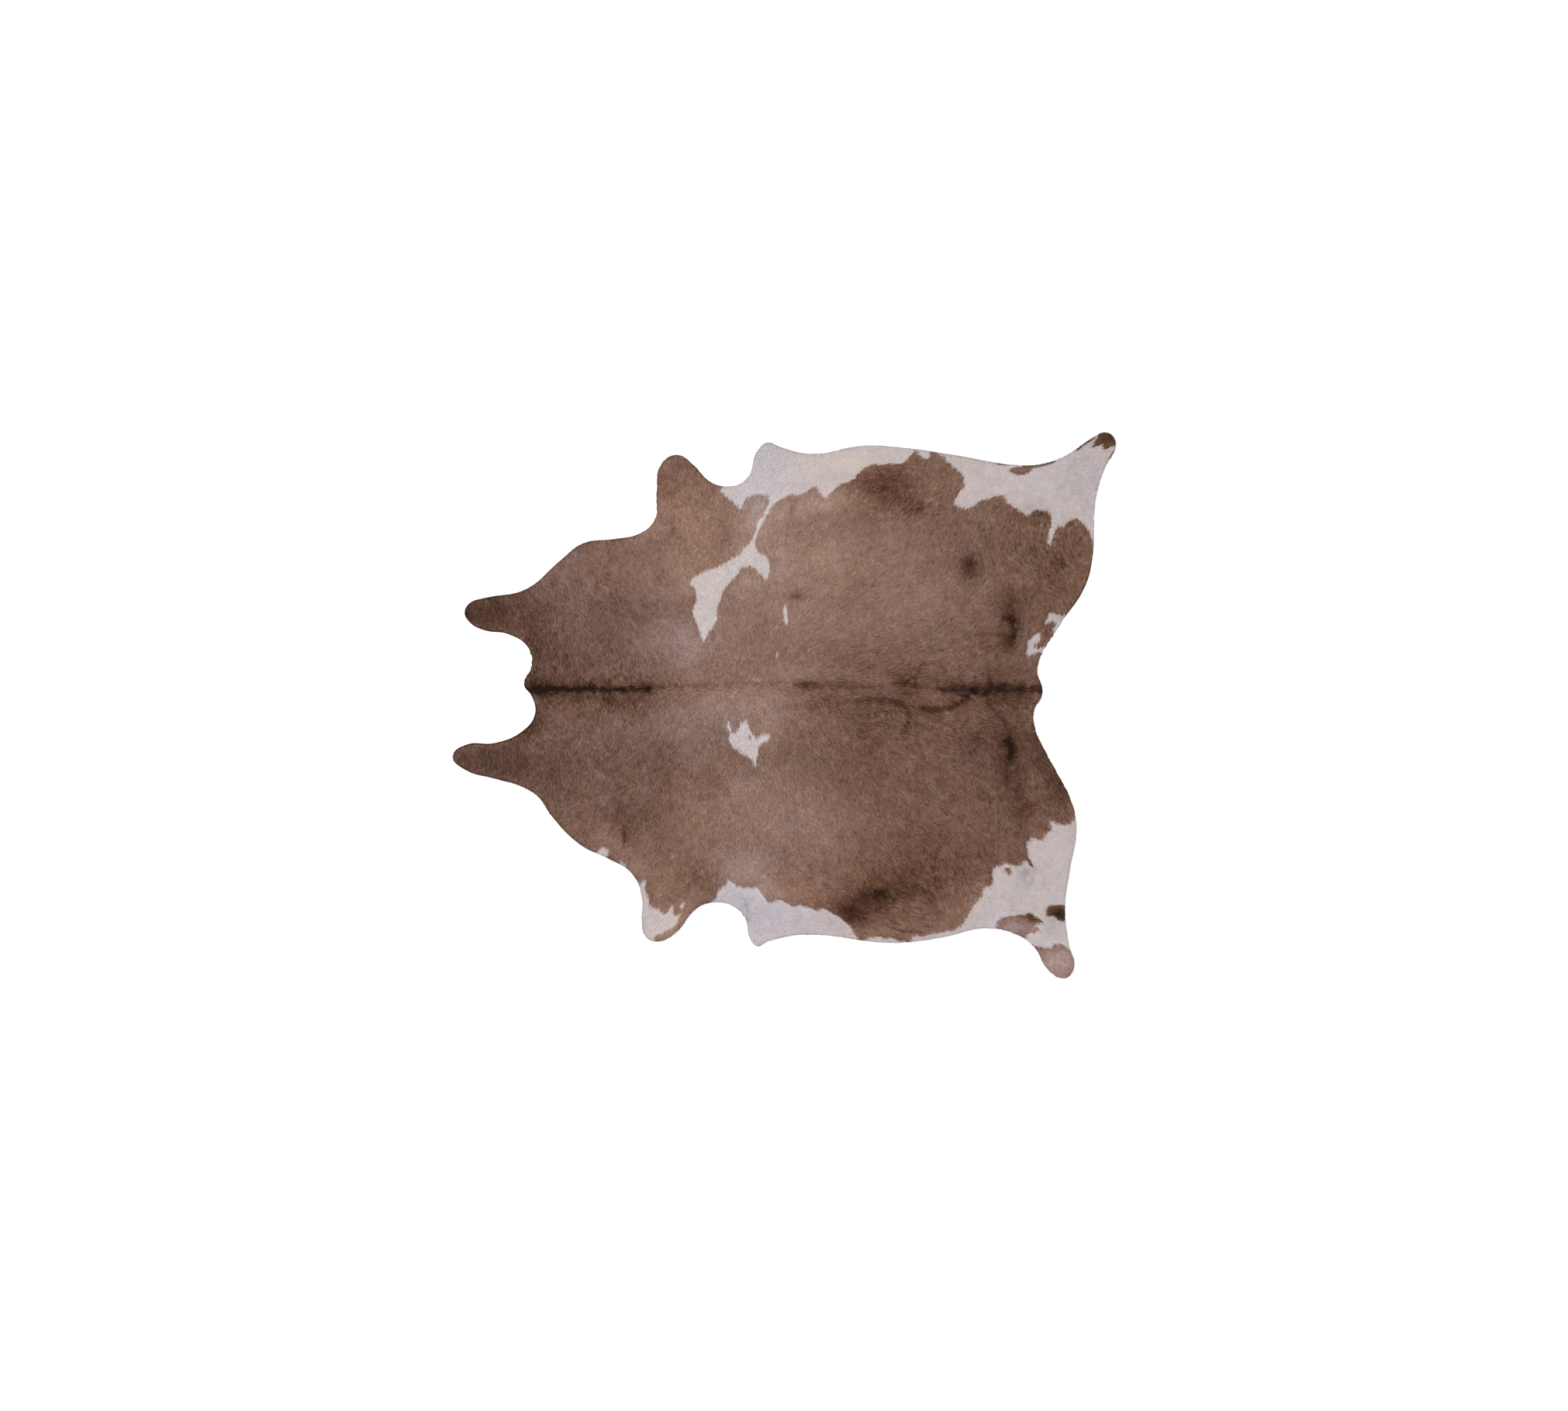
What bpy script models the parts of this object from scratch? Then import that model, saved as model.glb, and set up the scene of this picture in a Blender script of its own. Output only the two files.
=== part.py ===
"""Cowhide rug: one whole hide, cut from a single animal, lying flat with the hair side up.

Frame: metres, +X along the back from the neck to the tail, +Y to the animal's right side, +Z up.
The origin is on the flat underside, in the middle of the hide's length and width.
"""
import math
from collections import namedtuple

import bmesh
import bpy
from mathutils.kdtree import KDTree

# ---- driving dimensions -------------------------------------------------------------------------
LENGTH = 2.308            # from the tip of the left neck lug to the tip of the right hind leg
LEATHER = 0.0022          # tanned skin at the cut edge
NAP_EDGE = 0.0010         # hair lying over the cut edge
NAP_BODY = 0.0028         # hair lying on the body of the hide
EDGE_ROUND = 0.006        # from the cut edge to where the coat has half its height
EDGE_FADE = 0.024         # from the cut edge to where the coat has its full height
SWELL_FADE = 0.090        # from the cut edge to where the leather may swell freely
GRID = 0.055              # spacing of the lines that carry the relief
EDGE_STEPS = 5            # straight steps between two places on the cut edge

# ---- the cut edge -------------------------------------------------------------------------------
# Clockwise seen from above. Each place is (along, across): thousandths of a metre from the middle of
# the length towards the tail, and from the middle of the width towards the animal's right side,
# on a hide that is TABLE_LENGTH long. The edge runs through the places as one smooth curve.
TABLE_LENGTH = 2308
EDGE = {
    "right neck lug": (
        (-1112, 324), (-1094, 357), (-1040, 375), (-900, 404)),
    "right neck edge": (
        (-780, 504), (-700, 565), (-590, 580), (-500, 600)),
    "right foreleg": (
        (-450, 646), (-444, 740), (-427, 841), (-373, 873), (-317, 839), (-257, 779)),
    "right flank notch": (
        (-190, 763), (-133, 786)),
    "right flank point": (
        (-93, 886), (-57, 916), (-18, 902)),
    "right belly edge": (
        (95, 876), (273, 904), (400, 899), (600, 871), (821, 836)),
    "right hind leg": (
        (905, 842), (985, 872), (1075, 934), (1121, 951), (1149, 932), (1154, 899), (1118, 832)),
    "right rump": (
        (1083, 710), (1077, 533), (1050, 416), (948, 262)),
    "tail cut": (
        (881, 128), (900, 53), (895, 26), (872, -12), (871, -70)),
    "left rump": (
        (906, -153), (1006, -350), (1017, -440), (994, -575), (978, -700)),
    "left hind leg": (
        (986, -800), (997, -854), (1010, -888), (999, -936), (973, -950), (916, -918),
        (872, -844)),
    "left belly edge": (
        (800, -794), (700, -775), (560, -805), (389, -826), (64, -797), (-25, -812)),
    "left flank point": (
        (-64, -824), (-92, -839), (-116, -818)),
    "left flank notch": (
        (-138, -737), (-172, -701), (-232, -685), (-300, -703)),
    "left foreleg": (
        (-382, -796), (-446, -822), (-483, -803), (-495, -735), (-492, -680)),
    "left neck edge": (
        (-530, -584), (-608, -535), (-708, -486), (-815, -377), (-850, -324)),
    "left neck lug": (
        (-905, -286), (-1010, -254), (-1108, -225), (-1154, -176), (-1106, -135), (-1010, -130)),
    "neck cut": (
        (-912, -89), (-868, -30), (-879, 32), (-906, 72), (-878, 138), (-892, 202),
        (-965, 249), (-1040, 260), (-1095, 289)),
}

# ---- soft unevenness of the leather, seen on the hair side ----------------------------------------
# Middle, half length, half width and rise in thousandths of a metre, turn in degrees from +X.
Swell = namedtuple("Swell", "along across half_length half_width turn rise")
SWELLS = {
    "neck ridge": Swell(-690, 60, 280, 50, 0, 1.4),
    "loin ridge": Swell(650, 58, 300, 60, 0, 1.2),
    "right shoulder": Swell(-470, 400, 200, 120, 35, 0.9),
    "left shoulder": Swell(-500, -290, 200, 120, -35, 0.9),
    "right foreleg pit": Swell(-190, 640, 150, 60, 50, 0.8),
    "left foreleg pit": Swell(-190, -590, 150, 60, -50, 0.8),
    "right flank fold": Swell(-20, 830, 110, 50, 70, 0.7),
    "left flank fold": Swell(-60, -720, 110, 50, -70, 0.7),
    "right rump": Swell(700, 460, 240, 150, 60, 1.0),
    "left rump": Swell(720, -300, 240, 150, -60, 1.0),
    "right hind shank": Swell(1040, 850, 170, 60, 58, 1.1),
    "left hind shank": Swell(930, -800, 150, 60, -70, 1.1),
}

COAT_BROWN = (0.188, 0.112, 0.084, 1.0)
COAT_ROUGHNESS = 0.72


def table_to_metres(value):
    """A table value as metres on a hide that is LENGTH long."""
    return value * LENGTH / TABLE_LENGTH


def smooth_step(value):
    """0 to 1 with level ends, for a value that runs from 0 to 1."""
    value = min(max(value, 0.0), 1.0)
    return value * value * (3.0 - 2.0 * value)


def coat_material():
    """The coat's brown, plain and rough."""
    material = bpy.data.materials.new("brown coat")
    material.use_nodes = True
    shader = material.node_tree.nodes["Principled BSDF"]
    shader.inputs["Base Color"].default_value = COAT_BROWN
    shader.inputs["Roughness"].default_value = COAT_ROUGHNESS
    shader.inputs["Metallic"].default_value = 0.0
    material.diffuse_color = COAT_BROWN
    return material


def cut_edge_curve(collection):
    """The cut edge as a filled flat curve through the table's places."""
    curve = bpy.data.curves.new("cut edge", "CURVE")
    curve.dimensions = "2D"
    curve.fill_mode = "BOTH"
    curve.resolution_u = EDGE_STEPS
    places = [place for stretch in EDGE.values() for place in stretch]
    spline = curve.splines.new("BEZIER")
    spline.bezier_points.add(len(places) - 1)
    spline.use_cyclic_u = True
    for point, (along, across) in zip(spline.bezier_points, places):
        point.co = (table_to_metres(along), table_to_metres(across), 0.0)
        point.handle_left_type = "AUTO"
        point.handle_right_type = "AUTO"
    edge = bpy.data.objects.new("cut edge", curve)
    collection.objects.link(edge)
    bpy.context.view_layer.update()
    return edge


def flat_blank(edge):
    """The outline as one flat face in a bmesh, facing up; the curve is used up."""
    evaluated = edge.evaluated_get(bpy.context.evaluated_depsgraph_get())
    flat = bpy.data.meshes.new_from_object(evaluated)
    blank = bmesh.new()
    blank.from_mesh(flat)
    bmesh.ops.remove_doubles(blank, verts=blank.verts, dist=0.00001)
    bmesh.ops.dissolve_faces(blank, faces=blank.faces)
    face = blank.faces[:][0]
    face.normal_update()
    if face.normal.z < 0.0:
        face.normal_flip()
    curve = edge.data
    bpy.data.objects.remove(edge)
    bpy.data.curves.remove(curve)
    bpy.data.meshes.remove(flat)
    return blank


def swell_height(x, y):
    """How far the leather's soft swells lift the hair side at a place."""
    height = 0.0
    for swell in SWELLS.values():
        turn = math.radians(swell.turn)
        dx = x - table_to_metres(swell.along)
        dy = y - table_to_metres(swell.across)
        lengthwise = dx * math.cos(turn) + dy * math.sin(turn)
        crosswise = dy * math.cos(turn) - dx * math.sin(turn)
        reach = ((lengthwise / table_to_metres(swell.half_length)) ** 2
                 + (crosswise / table_to_metres(swell.half_width)) ** 2)
        height += table_to_metres(swell.rise) * math.exp(-reach)
    return height


def hair_side_height(x, y, from_edge):
    """Height of the coat's surface over the floor."""
    rounding = 0.5 * smooth_step(from_edge / EDGE_ROUND)
    fading = 0.5 * smooth_step(from_edge / EDGE_FADE)
    nap = NAP_EDGE + (NAP_BODY - NAP_EDGE) * (rounding + fading)
    return LEATHER + nap + swell_height(x, y) * smooth_step(from_edge / SWELL_FADE)


def cut_lines(blank, faces, axis):
    """Cut the faces along evenly spaced lines across one axis; returns what they have become."""
    normal = (1.0, 0.0, 0.0) if axis == 0 else (0.0, 1.0, 0.0)
    count = int(LENGTH / 2 / GRID)
    for step in range(-count, count + 1):
        place = [0.0, 0.0, 0.0]
        place[axis] = step * GRID
        edges = {edge for face in faces for edge in face.edges}
        verts = {vert for face in faces for vert in face.verts}
        cut = bmesh.ops.bisect_plane(
            blank, geom=[*faces, *edges, *verts], dist=0.0005, plane_co=place, plane_no=normal)
        faces = [part for part in cut["geom"] if isinstance(part, bmesh.types.BMFace)]
    return faces


def build_hide(collection):
    """The hide: flat underside, upright cut edge, rounded and softly uneven hair side."""
    blank = flat_blank(cut_edge_curve(collection))
    rim = KDTree(len(blank.verts))
    for index, vert in enumerate(blank.verts):
        rim.insert(vert.co, index)
    rim.balance()

    underside = blank.faces[:][0]
    raised = bmesh.ops.extrude_face_region(blank, geom=[underside], use_keep_orig=True)["geom"]
    top = next(part for part in raised if isinstance(part, bmesh.types.BMFace))
    bmesh.ops.translate(blank, verts=top.verts, vec=(0.0, 0.0, LEATHER + NAP_EDGE))
    hair_side = set(top.verts)
    before = set(blank.verts)
    for width in (EDGE_ROUND, EDGE_FADE - EDGE_ROUND):
        bmesh.ops.inset_region(blank, faces=[top], thickness=width, use_even_offset=True)
    strips = cut_lines(blank, [top], axis=0)
    cut_lines(blank, strips, axis=1)
    hair_side |= set(blank.verts) - before

    for vert in hair_side:
        x, y, _ = vert.co
        _, _, from_edge = rim.find((x, y, 0.0))
        vert.co.z = hair_side_height(x, y, from_edge)
    relief = [face for face in blank.faces if all(vert in hair_side for vert in face.verts)]
    bmesh.ops.triangulate(blank, faces=relief)
    bmesh.ops.recalc_face_normals(blank, faces=blank.faces)

    mesh = bpy.data.meshes.new("hide")
    blank.to_mesh(mesh)
    blank.free()
    mesh.shade_smooth()
    mesh.set_sharp_from_angle(angle=math.radians(40.0))
    hide = bpy.data.objects.new("hide", mesh)
    hide.data.materials.append(coat_material())
    collection.objects.link(hide)
    return hide


def main():
    for old in list(bpy.data.objects):
        bpy.data.objects.remove(old)
    collection = bpy.data.collections.new("Cowhide rug")
    bpy.context.scene.collection.children.link(collection)
    build_hide(collection)


main()
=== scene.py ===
import math

import bmesh
import bpy
import numpy as np
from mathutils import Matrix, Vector
from mathutils.bvhtree import BVHTree


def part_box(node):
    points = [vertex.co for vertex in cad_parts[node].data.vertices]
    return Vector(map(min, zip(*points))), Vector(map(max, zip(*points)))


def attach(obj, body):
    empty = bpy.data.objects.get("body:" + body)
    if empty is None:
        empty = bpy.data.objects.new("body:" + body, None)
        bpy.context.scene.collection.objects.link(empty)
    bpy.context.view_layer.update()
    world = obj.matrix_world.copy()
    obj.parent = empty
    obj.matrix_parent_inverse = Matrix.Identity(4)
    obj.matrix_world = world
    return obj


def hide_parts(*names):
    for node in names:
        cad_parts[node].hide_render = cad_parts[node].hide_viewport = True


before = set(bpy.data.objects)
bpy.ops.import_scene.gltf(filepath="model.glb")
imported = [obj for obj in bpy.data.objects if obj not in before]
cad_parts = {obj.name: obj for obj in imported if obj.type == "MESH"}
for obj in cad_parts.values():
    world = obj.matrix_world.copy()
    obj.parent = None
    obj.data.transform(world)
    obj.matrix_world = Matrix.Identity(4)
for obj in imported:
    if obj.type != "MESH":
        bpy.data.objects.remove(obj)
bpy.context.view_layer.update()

# ---- The outline ------------------------------------------------------------------
# A whole hide is trimmed along its edge with a knife, once it is tanned and stretched flat. All
# else keeps to that edge. The distance to it and the leather's swells are read off the solid.
EDGE_GRID = 0.005  # spacing of the places where the distance to the edge is kept
SWELL_GRID = 0.010  # spacing of the places where the height of the swells is kept
MARGIN = 0.06  # the kept places reach this far past the hide
LAST_PLACE = 1.001  # a grid is read to this many steps before its end
COAT_TOP = 0.0050  # height of the solid's coat where the leather lies flat
SOUNDING = 1.0  # height from which the swells are sounded
TOUCHING = 0.00001  # corners this near to one another, or to the floor, touch

solid = bmesh.new()
solid.from_mesh(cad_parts["hide"].data)
bmesh.ops.remove_doubles(solid, verts=solid.verts, dist=TOUCHING)
solid_surface = BVHTree.FromBMesh(solid)

blank = solid.copy()
walls_and_top = [face for face in blank.faces if face.calc_center_median().z > TOUCHING]
bmesh.ops.delete(blank, geom=walls_and_top, context="FACES")
bmesh.ops.dissolve_faces(blank, faces=blank.faces)
cut_edge = np.array([[vert.co.x, vert.co.y] for vert in blank.faces[:][0].verts])
low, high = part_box("hide")


def inside(x, y, loop):
    """Whether each place lies inside a closed loop of places."""
    odd = np.zeros(x.shape, bool)
    for (x0, y0), (x1, y1) in zip(loop, np.roll(loop, -1, axis=0)):
        if y0 != y1:
            crosses = (y0 > y) != (y1 > y)
            odd ^= crosses & (x < x0 + (y - y0) * (x1 - x0) / (y1 - y0))
    return odd


def distance_to_line(x, y, places, closed=False):
    """Distance from each place to a line through the places, and its share along it."""
    ends = np.roll(places, -1, axis=0) if closed else places[1:]
    best, share = np.full(x.shape, np.inf), np.zeros(x.shape)
    for index, (start, end) in enumerate(zip(places, ends)):
        dx, dy = end - start
        along = ((x - start[0]) * dx + (y - start[1]) * dy) / (dx * dx + dy * dy)
        along = np.clip(along, 0.0, 1.0)
        reach = np.hypot(x - start[0] - along * dx, y - start[1] - along * dy)
        nearer = reach < best
        best = np.where(nearer, reach, best)
        share = np.where(nearer, (index + along) / len(ends), share)
    return best, share


def kept_places(spacing):
    """Even places over the hide and its margin, as two lists and their grid."""
    xs = np.arange(low.x - MARGIN, high.x + MARGIN, spacing)
    ys = np.arange(low.y - MARGIN, high.y + MARGIN, spacing)
    return xs, ys, np.meshgrid(xs, ys, indexing="ij")


def amid_four(kept, i, j, u, v):
    """The value amid four neighbours in a grid, u and v of the way to the later ones."""
    return ((kept[i, j] * (1 - u) + kept[i + 1, j] * u) * (1 - v)
            + (kept[i, j + 1] * (1 - u) + kept[i + 1, j + 1] * u) * v)


def between(kept, spacing, x, y):
    """A kept value at any place, drawn straight between the kept ones."""
    u = np.clip((x - low.x + MARGIN) / spacing, 0, kept.shape[0] - LAST_PLACE)
    v = np.clip((y - low.y + MARGIN) / spacing, 0, kept.shape[1] - LAST_PLACE)
    i, j = u.astype(int), v.astype(int)
    return amid_four(kept, i, j, u - i, v - j)


_, _, (grid_x, grid_y) = kept_places(EDGE_GRID)
edge_reach, _ = distance_to_line(grid_x, grid_y, cut_edge, closed=True)
edge_kept = np.where(inside(grid_x, grid_y, cut_edge), edge_reach, -edge_reach)

swell_xs, swell_ys, _ = kept_places(SWELL_GRID)
swell_kept = np.zeros((len(swell_xs), len(swell_ys)))
for i, x in enumerate(swell_xs):
    for j, y in enumerate(swell_ys):
        hit = solid_surface.ray_cast(Vector((x, y, SOUNDING)), Vector((0.0, 0.0, -1.0)))[0]
        swell_kept[i, j] = max(hit.z - COAT_TOP, 0.0) if hit else 0.0
solid.free()


def from_edge(x, y):
    """How far inside the cut edge each place is; less than nothing outside it."""
    return between(edge_kept, EDGE_GRID, x, y)


# ---- The skin ---------------------------------------------------------------------
# The leather itself, about 2 mm thick, limp, with its suede side on the floor. Handling has left a
# fold down the back and soft creases in the neck and the flanks, which the coat follows.
CHART = 0.0027  # one square of the charts, counted from the middle of the hide
MILLIMETRE = 0.001
SKIN_THICKNESS = 0.0019
SKIN_TRIM = 0.001  # the coat reaches this far over the cut edge
SKIN_STEP = 0.012  # spacing of the lines that carry the relief
CUT_SNAP = 0.0004  # a corner this near to such a line lies on it
CREASE_FADE = 0.030  # the creases level out this far from the cut edge
CREASE_ENDS = (0.02, 0.98)  # a crease has some depth at its ends
HARD_EDGE = math.radians(50.0)  # a sharper turn between faces is a hard edge
FACES_UP = 0.5  # a face that looks up by more than this is on the hair side
HAIR_SIDE, SUEDE_SIDE = 0, 1  # the skin's two materials

# Half width and depth in millimetres, then places in chart squares.
CREASES = {
    "back fold": (7, 0.5, ((-330, 21), (-180, 22), (-40, 28), (90, 29), (200, 20), (330, 20))),
    "crest crease": (6, 0.4, ((-300, 45), (-230, 38), (-170, 40))),
    "crest crease, left": (6, 0.4, ((-290, -4), (-230, 4), (-160, 0))),
    "lug crease": (8, 0.4, ((-372, 112), (-330, 100), (-300, 82))),
    "lug crease, left": (8, 0.4, ((-370, -72), (-330, -62), (-300, -48))),
    "throat crease": (9, 0.5, ((-300, 150), (-282, 120), (-280, 86))),
    "shoulder crease": (9, 0.4, ((-196, 196), (-170, 150), (-166, 104))),
    "elbow crease": (8, 0.5, ((-92, 262), (-78, 226), (-58, 196))),
    "elbow crease, left": (8, 0.5, ((-88, -226), (-74, -196), (-60, -160))),
    "flank crease": (7, 0.5, ((30, 322), (50, 306), (74, 298))),
    "flank crease, left": (7, 0.5, ((-50, -282), (-46, -256), (-36, -240))),
    "belly crease": (6, 0.5, ((131, -284), (152, -291), (177, -295))),
    "loin crease": (8, 0.4, ((157, 50), (150, 0), (158, -35))),
    "hip crease": (9, 0.4, ((290, 130), (293, 100), (288, 70))),
    "hip crease, left": (9, 0.4, ((288, -30), (293, -60), (298, -110))),
    "thigh crease, left": (8, 0.5, ((300, -205), (318, -222), (330, -246))),
    "shank crease": (7, 0.4, ((300, 292), (340, 280), (380, 290))),
    "shank crease, left": (7, 0.4, ((330, -216), (345, -240), (352, -262))),
}


def skin_height(x, y):
    """Height of the skin's hair side over the floor."""
    height = SKIN_THICKNESS + between(swell_kept, SWELL_GRID, x, y)
    trough = np.zeros(np.shape(x))
    for half_width, depth, places in CREASES.values():
        reach, share = distance_to_line(x, y, np.array(places) * CHART)
        fading = np.sin(np.pi * np.clip(share, *CREASE_ENDS)) ** 0.5
        profile = np.exp(-(reach / (half_width * MILLIMETRE)) ** 2)
        trough += depth * MILLIMETRE * fading * profile
    inner = np.clip(from_edge(x, y) / CREASE_FADE, 0.0, 1.0)
    return height - trough * inner


def turn_up(flat):
    """Turns the faces of a flat mesh upwards."""
    for face in flat.faces:
        if face.normal.z < 0.0:
            face.normal_flip()


def cut_lines(flat, faces, axis, spacing):
    """Cuts faces along even lines across one axis and returns what they become."""
    normal = (1.0, 0.0, 0.0) if axis == 0 else (0.0, 1.0, 0.0)
    ahead, done = list(faces), []
    for step in range(math.floor(low[axis] / spacing), math.ceil(high[axis] / spacing)):
        place = [0.0, 0.0, 0.0]
        place[axis] = step * spacing
        edges = {edge for face in ahead for edge in face.edges}
        verts = {vert for face in ahead for vert in face.verts}
        cut = bmesh.ops.bisect_plane(
            flat, geom=[*ahead, *edges, *verts], dist=CUT_SNAP, plane_co=place, plane_no=normal)
        parts = [part for part in cut["geom"] if isinstance(part, bmesh.types.BMFace)]
        ahead = [face for face in parts if face.calc_center_median()[axis] > place[axis]]
        done += [face for face in parts if face.calc_center_median()[axis] <= place[axis]]
    return done + ahead


def laid_out(name, data):
    """A new object in the scene for a mesh, a lamp or a camera."""
    made = bpy.data.objects.new(name, data)
    bpy.context.scene.collection.objects.link(made)
    return made


turn_up(blank)
rim = bmesh.ops.inset_region(
    blank, faces=blank.faces[:], thickness=SKIN_TRIM, use_boundary=True, use_even_offset=True)
bmesh.ops.delete(blank, geom=rim["faces"], context="FACES")
strips = cut_lines(blank, blank.faces[:], 0, SKIN_STEP)
cut_lines(blank, strips, 1, SKIN_STEP)
bmesh.ops.triangulate(blank, faces=[face for face in blank.faces if len(face.verts) > 4])

raised = bmesh.ops.extrude_face_region(blank, geom=blank.faces[:], use_keep_orig=True)["geom"]
upper = {part for part in raised if isinstance(part, bmesh.types.BMVert)}
x, y = np.array([[vert.co.x, vert.co.y] for vert in blank.verts]).T
for vert, height in zip(blank.verts, skin_height(x, y)):
    vert.co.z = height if vert in upper else max(height - SKIN_THICKNESS, 0.0)
bmesh.ops.recalc_face_normals(blank, faces=blank.faces)
for face in blank.faces:
    face.smooth = True
    face.material_index = HAIR_SIDE if face.normal.z > FACES_UP else SUEDE_SIDE

skin_mesh = bpy.data.meshes.new("skin")
blank.to_mesh(skin_mesh)
blank.free()
skin_mesh.set_sharp_from_angle(angle=HARD_EDGE)
skin = laid_out("skin", skin_mesh)

# ---- The coat's lie ---------------------------------------------------------------
# The hair grows backwards along the spine and outwards over the sides and down the legs. Strokes of
# a comb, by part of the body, give its lie; between them it turns evenly.

# Along and out from the spine in chart squares, then the angle from the tail's direction outwards,
# in degrees, on the right side and on the left.
COMB = {
    "lug": (-395, 92, 115, 105), "lug root": (-340, 88, 98, 85),
    "poll": (-300, 30, 98, 70), "throat": (-285, 120, 112, 108),
    "crest front": (-250, 25, 88, 85), "neck front": (-250, 90, 114, 105),
    "throat back": (-235, 165, 118, 118), "crest": (-200, 30, 105, 96),
    "neck": (-195, 100, 120, 112), "neck side": (-190, 155, 122, 114),
    "withers": (-150, 30, 108, 106), "blade": (-150, 100, 122, 90),
    "shoulder point": (-150, 200, 105, 112), "foreleg": (-140, 265, 84, 110),
    "foreleg back": (-105, 230, 100, 118), "blade back": (-100, 110, 84, 85),
    "arm": (-85, 165, 75, 105), "armpit": (-75, 235, 108, 75),
    "saddle": (-60, 35, 85, 82), "girth": (-45, 110, 88, 86),
    "girth low": (-40, 175, 82, 92), "girth belly": (-40, 225, 66, 62),
    "flank tuck": (-35, 270, 50, 50), "flank point": (-12, 300, 70, 22),
    "back": (0, 35, 60, 75), "rib front": (5, 110, 80, 78),
    "rib front low": (0, 180, 72, 85), "belly front": (5, 245, 50, 35),
    "back middle": (50, 30, 25, 46), "rib": (50, 100, 30, 72),
    "rib middle": (50, 160, 50, 78), "rib belly": (50, 215, 60, 58),
    "belly": (50, 275, 36, 26), "loin front": (110, 30, 10, 22),
    "rib back": (110, 95, 30, 62), "rib back low": (110, 155, 42, 46),
    "flank": (110, 215, 55, 60), "flank low": (110, 265, 34, 40),
    "belly back": (120, 300, 14, 24), "loin": (170, 30, 16, 30),
    "loin side": (170, 95, 28, 42), "hip front": (170, 155, 34, 54),
    "hip low": (170, 215, 50, 50), "stifle front": (170, 270, 30, 32),
    "stifle edge": (175, 300, 14, 14), "croup": (230, 35, 28, 25),
    "hip": (228, 100, 36, 46), "thigh": (230, 160, 58, 60),
    "thigh middle": (228, 215, 72, 72), "stifle": (230, 268, 86, 100),
    "tail head": (290, 40, 55, 44), "croup side": (290, 95, 48, 58),
    "buttock": (295, 155, 115, 52), "thigh back": (290, 205, 105, 60),
    "shank front": (290, 270, -5, 2), "tail side": (325, 70, 60, 60),
    "buttock edge": (345, 150, 140, 54), "buttock low": (345, 205, 78, 66),
    "shank": (325, 270, 12, 14), "shank back": (360, 265, 42, 22),
    "buttock rim": (385, 160, 148, 55), "thigh rim": (382, 215, 82, 60),
    "hock": (370, 300, 30, 42), "hind end": (410, 330, 28, 45),
}
SPINE = 20  # the spine's place across, in chart squares
COMB_REACH = 30  # how far a stroke of the comb is felt, in chart squares
COMB_LEAST = 1e-9  # every stroke is felt this much, however far away


def hair_lie(x, y):
    """The way that the hair points at each place, as two parts of a unit length."""
    east, north = np.zeros(x.shape), np.zeros(x.shape)
    along, across = x / CHART, y / CHART
    for place, out, right, left in COMB.values():
        for side, angle in ((1, right), (-1, left)):
            reach = (along - place) ** 2 + (across - SPINE - side * out) ** 2
            felt = np.exp(-reach / (2 * COMB_REACH ** 2)) + COMB_LEAST
            east += felt * math.cos(math.radians(angle))
            north += felt * side * math.sin(math.radians(angle))
    size = np.hypot(east, north) + 1e-12
    return east / size, north / size


# ---- The coat's markings ----------------------------------------------------------
# The hair is brown, and white at the flanks, the arm, the legs and the rump. Each hair has its
# colour at its root, so a patch ends in the teeth of the hairs that lie over it.

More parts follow.
